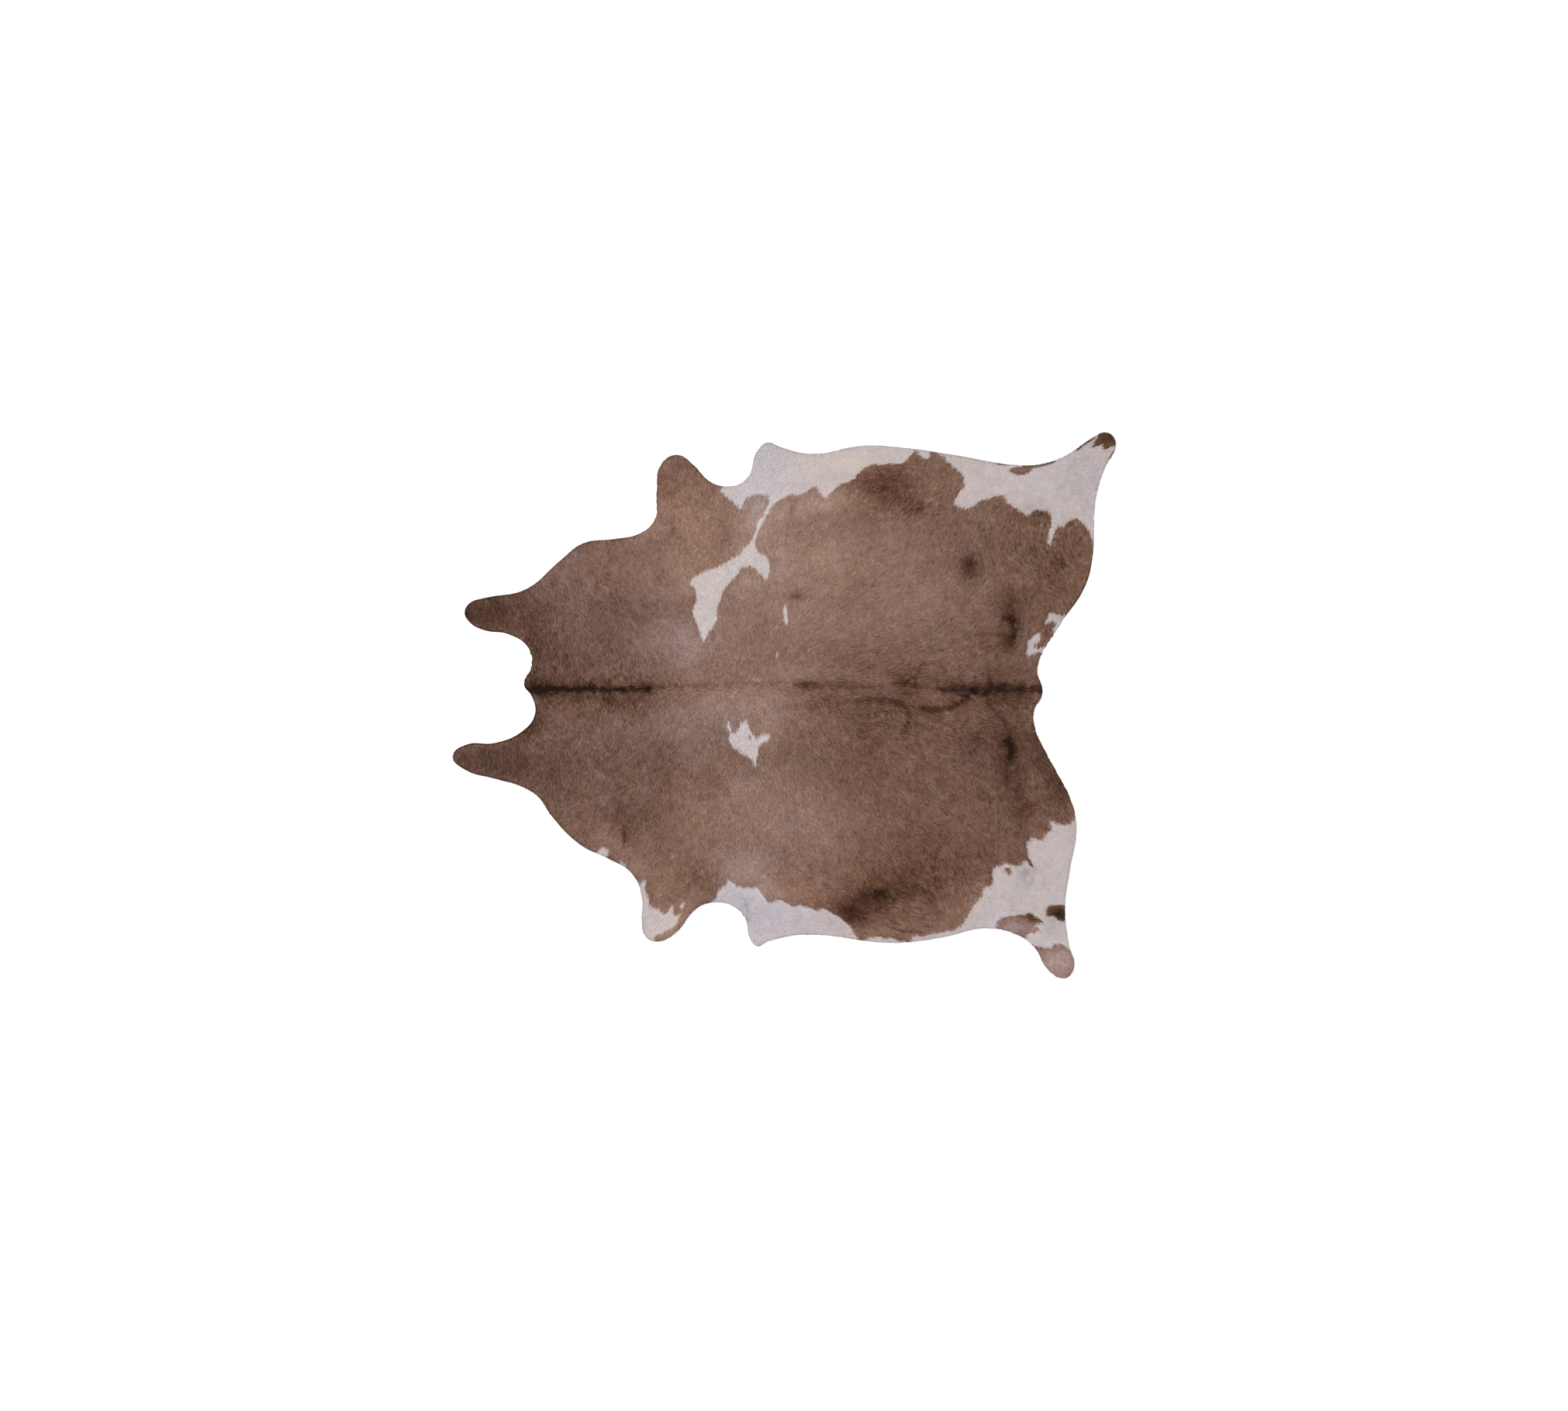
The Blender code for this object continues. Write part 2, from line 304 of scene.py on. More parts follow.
# Patches are closed outlines in chart squares, along and across.
WHITE = {
    "right flank, strip and arm": (
        (-82, 290), (-81, 276), (-70, 266), (-61, 257), (-55, 251), (-52, 259), (-49, 267),
        (-37, 271), (-23, 270), (-20, 261), (-24, 250), (-32, 238), (-37, 222), (-42, 211),
        (-52, 200), (-61, 192), (-70, 187), (-83, 179), (-97, 174), (-108, 169), (-118, 163),
        (-121, 154), (-115, 151), (-113, 134), (-118, 121), (-115, 110), (-109, 98), (-103, 82),
        (-97, 95), (-88, 105), (-86, 118), (-85, 129), (-80, 142), (-72, 155), (-62, 167),
        (-56, 176), (-41, 178), (-30, 169), (-23, 161), (-19, 174), (-21, 189), (-31, 195),
        (-37, 208), (-33, 223), (-26, 236), (-19, 251), (-9, 263), (2, 268), (8, 272), (24, 272),
        (36, 281), (43, 279), (53, 267), (64, 277), (75, 285), (87, 290), (98, 302), (107, 308),
        (139, 312), (150, 312), (162, 322), (167, 330), (169, 350), (-41, 365), (-96, 310)),
    "right belly notch": ((169, 337), (169, 328), (174, 323), (181, 319), (186, 321), (187, 337)),
    "right rump and hind leg": (
        (195, 337), (197, 325), (205, 321), (213, 311), (226, 300), (232, 290), (231, 280),
        (224, 273), (219, 260), (227, 255), (236, 253), (244, 257), (254, 263), (264, 266),
        (273, 270), (283, 270), (289, 260), (302, 252), (313, 244), (325, 251), (339, 248),
        (346, 240), (341, 223), (340, 209), (345, 210), (350, 227), (359, 229), (373, 240),
        (386, 233), (396, 218), (403, 198), (439, 270), (464, 350), (429, 380), (369, 355),
        (289, 330)),
    "tail side, upper": (
        (342, 119), (349, 117), (355, 115), (369, 115), (355, 90), (347, 94), (350, 104),
        (348, 108), (343, 107), (336, 105), (340, 111)),
    "tail side, lower": (
        (328, 93), (331, 86), (327, 80), (327, 72), (336, 75), (335, 70), (326, 68), (316, 64),
        (313, 67), (314, 80), (320, 86)),
    "left back star": (
        (-73, -19), (-72, -28), (-69, -37), (-71, -43), (-67, -51), (-59, -58), (-48, -65),
        (-41, -70), (-38, -80), (-36, -70), (-33, -62), (-32, -54), (-30, -49), (-23, -45),
        (-17, -39), (-25, -36), (-30, -40), (-34, -41), (-39, -37), (-45, -27), (-48, -17),
        (-52, -22), (-56, -19), (-57, -28), (-61, -34), (-66, -35), (-69, -28)),
    "right rib stroke": ((0, 126), (3, 126), (5, 105), (1, 105)),
    "right rib fleck": ((-10, 67), (-8, 67), (-8, 56)),
    "left foreleg": (
        (-192, -227), (-184, -230), (-181, -226), (-178, -228), (-179, -238), (-175, -247),
        (-172, -259), (-161, -261), (-160, -266), (-152, -268), (-148, -261), (-143, -256),
        (-142, -270), (-132, -268), (-137, -277), (-141, -283), (-153, -290), (-165, -297),
        (-169, -308), (-196, -305), (-206, -240)),
    "left foreleg tooth": ((-127, -253), (-133, -257), (-131, -263)),
    "left flank": (
        (-96, -258), (-89, -249), (-84, -238), (-75, -230), (-72, -225), (-65, -229), (-55, -234),
        (-36, -235), (-28, -244), (-21, -254), (-15, -254), (-8, -250), (3, -256), (11, -259),
        (24, -258), (40, -264), (49, -262), (67, -271), (82, -283), (89, -293), (92, -306),
        (29, -320), (-61, -330), (-81, -280)),
    "left rump and hind leg": (
        (163, -312), (164, -300), (170, -296), (178, -298), (197, -293), (214, -291), (226, -285),
        (233, -277), (239, -266), (246, -254), (255, -246), (258, -235), (268, -229), (269, -214),
        (275, -207), (286, -204), (298, -207), (310, -200), (314, -194), (313, -182), (319, -171),
        (331, -174), (339, -163), (345, -159), (343, -150), (361, -154), (369, -152), (379, -143),
        (399, -150), (389, -270), (373, -312), (359, -308), (350, -306), (341, -312), (323, -310),
        (307, -308), (269, -302), (204, -316)),
    "left neck edge": ((-243, -191), (-235, -184), (-229, -184), (-226, -191), (-235, -202)),
    "left shoulder edge": ((-211, -201), (-204, -206), (-208, -212)),
    "left belly edge": (
        (104, -302), (112, -299), (122, -298), (128, -300), (138, -299), (147, -303), (158, -303),
        (158, -314), (104, -312)),
}
BROWN = {
    "right shank spot": (
        (289, 304), (296, 307), (312, 307), (320, 304), (313, 299), (302, 297), (291, 300)),
    "right shank edge": ((308, 308), (319, 306), (332, 307), (347, 312), (348, 322), (303, 320)),
    "right shank edge, front": ((272, 315), (273, 310), (287, 309), (288, 315)),
    "right hock edge": ((375, 327), (390, 337), (400, 345), (397, 354), (373, 337)),
    "right hind end": (
        (396, 333), (400, 341), (405, 350), (415, 360), (429, 358), (435, 346), (432, 337),
        (420, 333), (413, 329), (410, 335), (406, 337), (402, 333)),
    "right hind edge": ((427, 332), (419, 318), (425, 316), (435, 329)),
    "left shank spot": (
        (336, -265), (341, -258), (351, -257), (370, -260), (370, -277), (353, -277), (348, -271),
        (340, -272)),
    "left shank cloud": (
        (273, -282), (276, -276), (288, -272), (301, -271), (315, -268), (322, -271), (333, -280),
        (323, -282), (329, -289), (322, -293), (313, -294), (310, -304), (294, -300), (276, -290)),
    "left thigh wedge": ((310, -194), (317, -197), (321, -209), (314, -203)),
    "left thigh spot": ((285, -213), (289, -208), (293, -213), (289, -218)),
    "left back star, hole": ((-46, -41), (-44, -36), (-42, -40), (-43, -43)),
    "tail side hole": ((321, 77), (324, 79), (325, 75), (322, 72)),
}

# Soft clouds of lighter or darker, warmer or cooler hair, partly the coat's own tone and partly
# painted shade and sheen where the hair's lie and its creases take the light: middle, half length
# and half width in chart squares, turn in degrees, then how much lighter and how much warmer.
CLOUDS = {
    "right lug": (-381, 120, 62, 29, 5, -0.24, -0.2),
    "right lug tip": (-412, 116, 9, 12, 0, -0.18, -0.2),
    "right lug root": (-322, 80, 24, 34, 0, -0.15, -0.2),
    "poll": (-318, 44, 22, 35, 0, -0.07, -0.1),
    "left lug": (-388, -70, 66, 27, -8, -0.22, -0.4),
    "left lug root": (-328, -28, 26, 12, 45, -0.24, 0),
    "left throat": (-300, -80, 60, 60, 0, -0.07, -0.5),
    "right neck": (-225, 105, 90, 50, 0, -0.07, -1.1),
    "right neck, upper edge": (-290, 175, 35, 25, 30, 0.03, -1.3),
    "right throat": (-286, 68, 16, 26, 0, -0.09, 0),
    "right neck smudge": (-296, 158, 7, 10, 0, -0.1, -0.4),
    "left neck": (-230, -60, 90, 50, 0, -0.04, -0.6),
    "crest shade": (-246, 14, 100, 20, 0, -0.18, 0.2),
    "crest front": (-314, 21, 36, 15, 0, -0.16, 0),
    "withers blot": (-177, 25, 8, 7, 0, -0.18, 0),
    "left shoulder": (-190, -100, 80, 70, 0, -0.02, 0),
    "left shoulder, low": (-195, -143, 50, 26, 0, -0.09, 0.1),
    "left neck edge": (-224, -172, 26, 14, -30, 0.16, 0.3),
    "right foreleg": (-111, 245, 50, 50, 0, 0.16, 0.7),
    "right foreleg top": (-148, 300, 14, 40, 0, -0.03, 0.5),
    "right shoulder": (-141, 170, 50, 32, 20, 0.16, 0.4),
    "right blade, front": (-160, 86, 35, 30, 0, 0.12, -0.4),
    "right shoulder shade": (-161, 164, 16, 12, 0, -0.1, 0),
    "left foreleg": (-151, -235, 30, 35, 0, 0.08, 0.9),
    "left foreleg root": (-188, -206, 22, 13, -40, 0.13, 0),
    "left foreleg edge": (-140, -284, 36, 13, 50, 0.24, 0.9),
    "left elbow": (-106, -220, 20, 16, 0, -0.08, 0.6),
    "right blade": (-121, 75, 25, 35, 0, 0.2, -0.6),
    "right foreleg spot": (-121, 264, 9, 12, 0, -0.11, 0),
    "right foreleg back": (-108, 282, 16, 12, -40, -0.08, 0),
    "right elbow": (-36, 259, 20, 20, 0, 0.22, -1.5),
    "right elbow, low": (-54, 230, 20, 20, 0, 0.13, 0.4),
    "right elbow spot": (-72, 226, 9, 14, 0, -0.1, 0),
    "above the arm": (-54, 199, 20, 12, 20, 0.21, 0),
    "right shoulder edge": (-172, 226, 26, 15, 40, 0.14, 0),
    "right shoulder smudge": (-171, 210, 6, 5, 0, -0.06, -1.0),
    "right girth": (-51, 90, 55, 70, 0, 0.14, 0),
    "right girth spot": (-33, 87, 16, 15, 0, -0.1, 0),
    "before the arm": (-127, 148, 10, 14, 0, 0.09, 0),
    "behind the arm": (-8, 185, 22, 50, 0, 0.16, 0),
    "withers": (-61, 0, 90, 30, 0, 0.16, -0.3),
    "left blade": (-131, -35, 55, 40, 0, 0.05, -0.7),
    "left girth": (-41, -130, 80, 60, 0, 0.14, -0.1),
    "left chest": (-115, -145, 45, 40, 0, 0.05, 0.5),
    "left armpit": (-51, -210, 40, 25, 0, 0.2, -0.9),
    "left flank edge": (-22, -240, 36, 14, -20, 0.2, -0.3),
    "right belly front": (-2, 252, 45, 20, 20, 0.2, 0.1),
    "right ribs": (49, 190, 60, 50, 0, 0.2, 0.5),
    "right ribs, low": (55, 262, 48, 16, 15, 0.2, 0.3),
    "rib spot": (8, 252, 5, 8, 0, -0.26, 0.3),
    "rib spot, upper": (14, 140, 8, 6, 0, -0.26, 0.5),
    "right ribs, upper": (40, 108, 50, 40, 0, 0.11, -0.2),
    "right loin": (165, 150, 80, 60, 0, 0.12, 0),
    "left ribs": (45, -160, 60, 45, 0, 0.11, 0),
    "left belly front": (26, -240, 45, 22, -15, 0.1, 0.9),
    "left trunk": (140, -80, 150, 90, 0, -0.06, 0),
    "left back": (95, -25, 22, 40, 0, -0.1, -0.2),
    "back spot": (29, 26, 12, 7, 0, -0.2, 0),
    "back spot, left": (48, 4, 32, 15, 0, -0.13, 0),
    "loin, left": (193, 12, 22, 10, 0, 0.12, 0.3),
    "loin": (160, 4, 60, 22, 0, -0.14, 0.1),
    "loin, right": (158, 42, 26, 14, 0, -0.08, 0),
    "left loin": (250, -42, 40, 21, 0, -0.11, 0),
    "loin, front": (92, 60, 26, 13, 0, -0.08, 0),
    "right belly": (150, 285, 110, 40, 0, 0.04, 0.5),
    "right belly cloud": (124, 290, 42, 20, 10, -0.26, 0.2),
    "right belly tail": (150, 262, 34, 18, -20, -0.16, 0.2),
    "right loin, low": (139, 216, 15, 22, 0, 0.09, 0),
    "right hip smudge": (238, 178, 10, 14, 0, -0.24, -0.3),
    "right hip halo": (238, 176, 20, 24, 0, -0.1, -0.1),
    "right hip": (291, 110, 15, 36, 0, -0.16, 0),
    "right hip, back": (296, 130, 26, 20, 0, -0.09, 0),
    "left hip": (290, -58, 16, 30, 0, -0.12, 0),
    "tail head": (262, 22, 72, 20, 0, -0.13, 0),
    "right tail side": (280, 82, 45, 32, 0, -0.07, 0),
    "left croup": (285, -70, 40, 80, 0, -0.1, 0),
    "left hip, low": (300, -110, 13, 45, 10, -0.1, 0),
    "left thigh": (314, -136, 18, 12, 0, -0.1, 0.6),
    "left buttock": (345, -75, 22, 60, 25, -0.2, 0),
    "left buttock edge": (352, -118, 16, 28, 0, -0.09, 0),
    "right rump": (290, 190, 80, 60, 0, -0.02, 0),
    "right buttock": (357, 162, 35, 60, 0, -0.07, 0.3),
    "right rump edge": (325, 250, 22, 12, 0, -0.15, 0.4),
    "right thigh edge": (375, 225, 20, 15, 0, -0.02, 1.0),
    "right buttock shade": (352, 189, 15, 12, 0, -0.1, 0),
    "left belly cloud": (116, -246, 54, 22, 28, -0.28, 0.5),
    "left belly cloud, front": (81, -267, 24, 9, -25, -0.19, 0.9),
    "left stifle spot": (186, -236, 26, 12, 0, -0.1, 0),
    "left belly": (175, -215, 110, 60, 10, -0.1, 0.8),
    "left belly edge": (160, -290, 70, 9, 0, 0.08, 0.2),
    "left hind end": (354, -328, 26, 30, -60, 0.4, -1.1),
    "right hind leg": (393, 304, 40, 50, 0, -0.15, 0),
    "right hind end": (418, 345, 22, 16, 30, -0.17, 1.2),
    "right flank point": (-21, 310, 30, 35, 0, -0.05, -0.8),
    "right flank": (94, 312, 25, 12, 0, 0.05, 0.3),
    "right arm": (-85, 165, 20, 25, 0, 0.05, 0.3),
    # Painted bluish shade around the left flank crease.
    "left flank point": (-51, -265, 25, 30, 0, -0.2, -1.2),
    "left flank": (2, -272, 36, 24, 0, -0.11, -1.2),
    # Painted grey shade in the left thigh crease.
    "left thigh crease shadow": (309, -218, 11, 15, -20, -0.35, -0.9),
    "left shank spot": (355, -268, 13, 9, 0, -0.36, 0.9),
    "left shank cloud": (297, -285, 22, 12, 0, 0.29, -1.6),
    "left shank cloud, low": (324, -289, 9, 6, 0, 0.28, 0.3),
    "white foreleg": (-165, -275, 22, 24, 0, 0.14, 0),
    "white arm": (-98, 140, 20, 40, 0, 0.06, 0.5),
    "white band": (60, 310, 70, 18, 0, 0.1, 0.5),
    "white thigh": (320, -250, 50, 50, 0, -0.05, 0),
    "white shank": (347, -290, 17, 22, 0, -0.2, 0),
    "inside the arm": (-50, 158, 22, 22, 0, 0.17, 0),
    "beside the strip": (-30, 222, 18, 16, 0, 0.12, 0),
    "behind the star": (-20, -36, 20, 25, 0, 0.14, 0),
    "left rump edge": (235, -252, 38, 16, 40, 0.14, 0.4),
    "left belly, light": (140, -220, 22, 14, 0, 0.1, 0),
    "saddle, right": (20, 44, 48, 13, 0, 0.1, 0),
    "crest, right": (-248, 46, 40, 24, 0, -0.1, 0),
    "crest, left": (-206, -3, 32, 10, 0, -0.08, 0),
    "croup, left": (285, 4, 45, 9, 0, -0.1, 0),
    "loin, low left": (160, -25, 20, 12, 0, -0.06, 0),
    "left chest spot": (-94, -106, 20, 20, 0, -0.09, 0),
    "left blade spot": (-158, -74, 14, 26, 0, -0.09, 0),
    "right rib spot": (105, 154, 20, 11, 0, -0.08, 0),
    "right hip spot": (185, 178, 24, 12, 30, -0.07, 0),
    "right belly spot": (164, 285, 14, 12, 0, -0.06, 0),
    "left shank cloud, top": (317, -273, 14, 5, -25, -0.24, 1.4),
}

# Narrow marks, such as the dark line down the back, and painted shade along creases, folds and cut
# edges: half width, how much lighter, then places.
LINES = {
    # The lines along the spine are partly the coat's dark stripe and partly painted shade where the
    # hair parts over the back.
    "crest line": (3.0, -0.32, ((-345, 20), (-250, 21), (-205, 21))),
    "crest line, soft": (6.0, -0.07, ((-345, 20), (-250, 22))),
    "withers line": (4, -0.22, ((-205, 21), (-172, 21))),
    "saddle line": (3.5, -0.12, ((-172, 24), (-70, 25))),
    # Painted shade in the back fold.
    "back fold": (1.5, -0.08, ((-70, 28), (90, 30))),
    "back line": (4, -0.13, ((16, 25), (60, 25), (124, 23))),
    "loin blot": (4.5, -0.18, ((142, 28), (169, 27))),
    "loin line": (3, -0.12, ((169, 26), (205, 20))),
    "croup line": (7, -0.25, ((205, 21), (250, 20), (285, 22), (342, 20))),
    "loin vein, front": (2.2, -0.1, ((135, 43), (149, 38), (160, 30))),
    "loin vein, right": (2.4, -0.15, ((169, 36), (176, 53), (199, 55), (208, 45))),
    "loin vein, left": (3, -0.14, ((94, 6), (118, 8), (149, 3), (162, -11), (155, -35))),
    "croup vein, right": (2.5, -0.1, ((264, 53), (264, 30))),
    "croup vein, left": (3.4, -0.2, ((179, -4), (213, -3), (233, 8), (243, 19))),
    "tail vein, left": (3, -0.1, ((260, 13), (267, -4), (285, -20))),
    "hip vein, right": (2.5, -0.12, ((243, 91), (270, 91), (294, 87))),
    "hip mark, right": (4.5, -0.2, ((284, 113), (292, 109), (297, 96), (293, 80))),
    "hip mark, left": (5.5, -0.2, ((288, -44), (292, -57), (290, -64))),
    "hip line, left": (3, -0.09, ((289, -68), (285, -85), (288, -108))),
    # Painted shade in the left belly crease.
    "belly crease, left": (1.6, -0.2, ((131, -284), (150, -289), (177, -293))),
    # Painted shade where the hair curls down over the cut edge, on the lug and the neck.
    "lug edge shade, right": (2.5, -0.12, ((-392, 140), (-360, 145), (-340, 150))),
    "neck cut edge shade": (2.5, -0.16, ((-334, 16), (-325, 5), (-321, -10), (-330, -25))),
    "left neck slit": (2.2, -0.3, ((-205, -160), (-206, -180))),
    "neck scratch": (0.9, 0.16, ((-267, -53), (-260, -42))),
    "throat scratch": (0.9, 0.18, ((-241, -85), (-231, -92))),
    "throat scratch, low": (0.9, 0.14, ((-241, -110), (-233, -125))),
    "left back scar": (3.0, 0.16, ((76, -43), (83, -43))),
    "left loin scar": (1.8, 0.18, ((131, -66), (132, -71))),
    # Lines named crease or fold below are painted shade in the hide's creases.
    "left flank crease": (1.8, -0.3, ((-51, -250), (-48, -262), (-47, -276))),
    "left flank crease, back": (2.2, -0.16, ((55, -270), (60, -280), (57, -288))),
    "left foreleg crease": (1.5, -0.16, ((-182, -276), (-168, -268), (-156, -276))),
    "right flank crease": (1.8, -0.18, ((48, 322), (50, 312), (54, 303))),
    "right flank crease, front": (1.5, -0.12, ((-8, 330), (-3, 312), (-6, 296))),
    "right thigh crease": (1.8, -0.12, ((312, 288), (322, 276), (318, 262))),
    "left thigh rim": (1.6, -0.24, ((323, -208), (321, -218), (319, -230), (311, -237))),
    "left thigh crease": (2, -0.14, ((336, -225), (334, -236), (326, -246))),
    "left thigh crease, front": (1.6, -0.12, ((258, -246), (272, -250), (286, -244))),
    "left shank fold": (1.4, -0.12, ((281, -249), (290, -252), (294, -258))),
}
BASE_LIGHT = 0.43  # the brown coat's common lightness, on the scale of its colours
BASE_WARMTH = 0.13  # its common warmth, from -1 for a cool brown to 1 for a warm one
SEEN_AHEAD = 0.007  # a hair is seen this far from its root, along its lie
TUFT_REACH = 0.0035  # how far the tufts at a patch's edge reach along the hair
TUFT_NOISES = ((1.0, 0.004, 11), (0.5, 0.0025, 12))  # how much of each, its size and its seed
SWERVE, SWERVE_SIZE = 0.001, 0.008  # how far the tufts swerve across the hair
RAGGED, RAGGED_SIZE = 0.35, 0.012  # how much a line's width changes along it
EDGE_SHADE = 0.0025  # hair this near to the cut edge gets painted shade, for hair that curls down over it
EDGE_DARKER, EDGE_DARKER_WHITE = 0.16, 0.30  # by this much, and by more where it is white
ROUND_STEPS = 4  # straight steps between two places on a patch's outline


def soft_noise(x, y, size, seed):
    """Smooth noise with hills that size across, mostly from -1 to 1, the same on each run."""
    u, v = (x - low.x + MARGIN) / size, (y - low.y + MARGIN) / size
    count = int((high.x - low.x + 3 * MARGIN) / size) + 3
    hills = np.random.default_rng(seed).standard_normal((count, count))
    i, j = np.clip(u.astype(int), 0, count - 2), np.clip(v.astype(int), 0, count - 2)
    u, v = np.clip(u - i, 0, 1), np.clip(v - j, 0, 1)
    return amid_four(hills, i, j, u * u * (3 - 2 * u), v * v * (3 - 2 * v))


def noises(x, y, layers):
    """Smooth noises added up: how much of each, its size and its seed."""
    return sum(amount * soft_noise(x, y, size, seed) for amount, size, seed in layers)


def smooth_loop(places):
    """A smooth closed outline through the places."""
    at = np.array(places, float)
    before, after, beyond = np.roll(at, 1, 0), np.roll(at, -1, 0), np.roll(at, -2, 0)
    rounds = []
    for t in np.arange(ROUND_STEPS) / ROUND_STEPS:
        rounds.append(0.5 * (2 * at + (after - before) * t
                             + (2 * before - 5 * at + 4 * after - beyond) * t ** 2
                             + (3 * at - before - 3 * after + beyond) * t ** 3))
    return np.stack(rounds, axis=1).reshape(-1, 2)


def cloud_share(x, y, along, across, half_length, half_width, turn=0.0):
    """How deep in a soft oval cloud each place is, 1 in its middle."""
    turn = math.radians(turn)
    dx, dy = x / CHART - along, y / CHART - across
    lengthwise = dx * math.cos(turn) + dy * math.sin(turn)
    crosswise = dy * math.cos(turn) - dx * math.sin(turn)
    return np.exp(-(lengthwise / half_length) ** 2 - (crosswise / half_width) ** 2)


def in_patches(x, y, patches):
    """Whether each place lies in one of the patches."""
    found = np.zeros(x.shape, bool)
    for places in patches.values():
        loop = smooth_loop(places) * CHART
        (x0, y0), (x1, y1) = loop.min(axis=0), loop.max(axis=0)
        near = np.flatnonzero((x > x0) & (x < x1) & (y > y0) & (y < y1))
        found[near] |= inside(x[near], y[near], loop)
    return found


def markings(x, y, ahead=SEEN_AHEAD):
    """Whiteness, lightness and warmth of the hair that grows at each place, its lightness with
    painted shade and sheen.
    """
    east, north = hair_lie(x, y)
    x, y = x + east * ahead, y + north * ahead
    tuft = TUFT_REACH * noises(x, y, TUFT_NOISES)
    swerve = SWERVE * soft_noise(x, y, SWERVE_SIZE, seed=14)
    tuft_x, tuft_y = x + east * tuft - north * swerve, y + north * tuft + east * swerve
    white = in_patches(tuft_x, tuft_y, WHITE) & ~in_patches(tuft_x, tuft_y, BROWN)
    light, warm = np.full(x.shape, BASE_LIGHT), np.full(x.shape, BASE_WARMTH)
    for *oval, lighter, warmer in CLOUDS.values():
        share = cloud_share(x, y, *oval)
        light += lighter * share
        warm += warmer * share
    ragged = 1 + RAGGED * soft_noise(x, y, RAGGED_SIZE, seed=13)
    for half_width, lighter, places in LINES.values():
        reach, _ = distance_to_line(x, y, np.array(places) * CHART)
        light += lighter * np.exp(-(reach / (half_width * CHART * ragged)) ** 2)
    return np.array([white, light, warm])


def painted_edge_shade(x, y, white):
    """How much painted shade darkens the hair near the cut edge, where real hair curls down over
    it.
    """
    nearness = np.exp(-(np.maximum(from_edge(x, y), 0.0) / EDGE_SHADE) ** 2)
    return (EDGE_DARKER + EDGE_DARKER_WHITE * white) * nearness


# ---- The coat ---------------------------------------------------------------------
# Short, stiff summer hair, 13 to 20 mm long, lies close to the skin in narrow locks. A lock is made
# once, as a low ridge that narrows to a tip, and is laid over the whole hide in five fields.
COATS = ("coat_neck", "coat_shoulder", "coat_back", "coat_loin", "coat_rump")
LOCK_SEED = 5
LOCK_PITCH = 0.00277  # one root to each square of this size
LOCK_LENGTH = (0.013, 0.020)
LOCK_WIDTH = (0.0022, 0.0034)
LOCK_WIDEST = 0.38  # how far along its length a lock is widest
LOCK_LIFT = (0.0008, 0.0029)  # height of the tips over the skin
LEAST_LIFT = 0.25  # what a lock that is trimmed short keeps of its lift
LOCK_CROWN = (0.0001, 0.0004)  # height of the ridge over its sides
LOCK_BEND = 0.0012  # how far a tip bends sideways
ROOT_DEPTH = 0.0003  # how deep in the skin the roots are
FLOOR_GAP = 0.0002  # the hair keeps this far off the floor
EDGE_HANG = (0.0, 0.0009)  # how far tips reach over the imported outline
TIP_MIXING = 0.006  # a tip takes its colour this far ahead of its root's

# How far a lock turns from the coat's lie: by chance, in waves, and in broad drifts.
TURN_SPREAD = math.radians(9.0)
WAVES, WAVES_CURLED, WAVE_SIZE = 0.10, 0.30, 0.016
DRIFTS, DRIFT_SIZE = 0.12, 0.070

# How much lighter and warmer a lock is than its neighbours: in streaks along the hair, in a mottle
# and by chance. Noises are listed as TUFT_NOISES is.
STREAKS, STREAKS_CURLED, STREAK_WIDTH, STREAK_LENGTH = 0.015, 0.045, 0.0038, 0.012
STREAK_SAMPLES, STREAK_HEIGHT = 9, 1.6
MOTTLE, MOTTLE_WHITE, MOTTLE_CURLED = 0.028, 0.025, 0.020
MOTTLE_NOISES = ((0.8, 0.006, 30), (0.8, 0.012, 23), (0.8, 0.026, 24), (0.4, 0.080, 25))
WARMTH_NOISES = ((0.25, 0.035, 28), (0.20, 0.010, 29))
LIGHT_SPREAD, WARMTH_SPREAD = 0.075, 0.25

# Where the hair is crimped or curled: middle, half length and half width, then how much.
CURLS = {
    "crest": (-241, 15, 75, 32, 1.2),
    "right buttock": (350, 200, 55, 60, 0.9),
    "right belly": (170, 270, 70, 40, 0.6),
    "left belly": (190, -230, 80, 50, 0.7),
    "left loin": (170, -20, 60, 30, 0.5),
    "right foreleg": (-120, 260, 45, 50, 0.5),
}

# Along, across and up, as shares of a lock's length, width and crown.
lock = bmesh.new()
root, right_side, tip, left_side = [lock.verts.new(place) for place in (
    (0.0, 0.0, 0.0), (LOCK_WIDEST, -0.5, -1.0), (1.0, 0.0, 0.0), (LOCK_WIDEST, 0.5, -1.0))]
bmesh.ops.contextual_create(lock, geom=[root, right_side, tip])
bmesh.ops.contextual_create(lock, geom=[root, tip, left_side])
lock.normal_update()
turn_up(lock)
lock.verts.index_update()
lock_places = np.array([vert.co[:] for vert in lock.verts])
lock_faces = np.array([[vert.index for vert in face.verts] for face in lock.faces])
lock.free()

chance = np.random.default_rng(LOCK_SEED)
root_x, root_y = (part.ravel() for part in np.meshgrid(
    np.arange(low.x, high.x, LOCK_PITCH), np.arange(low.y, high.y, LOCK_PITCH), indexing="ij"))
root_x = root_x + LOCK_PITCH * chance.uniform(-0.5, 0.5, root_x.shape)
root_y = root_y + LOCK_PITCH * chance.uniform(-0.5, 0.5, root_y.shape)
rooted = from_edge(root_x, root_y) > SKIN_TRIM
root_x, root_y = root_x[rooted], root_y[rooted]
count = len(root_x)


def spread(limits):
    """An even choice between two limits for each lock."""
    return chance.uniform(*limits, count)


def combed_noise(x, y, east, north, width, length, seed):
    """Noise drawn out along the hair, in streaks of that width and length."""
    steps = np.linspace(-0.5, 0.5, STREAK_SAMPLES) * length
    total = sum(soft_noise(x + east * step, y + north * step, width, seed) for step in steps)
    return total / STREAK_SAMPLES ** 0.5 / STREAK_HEIGHT


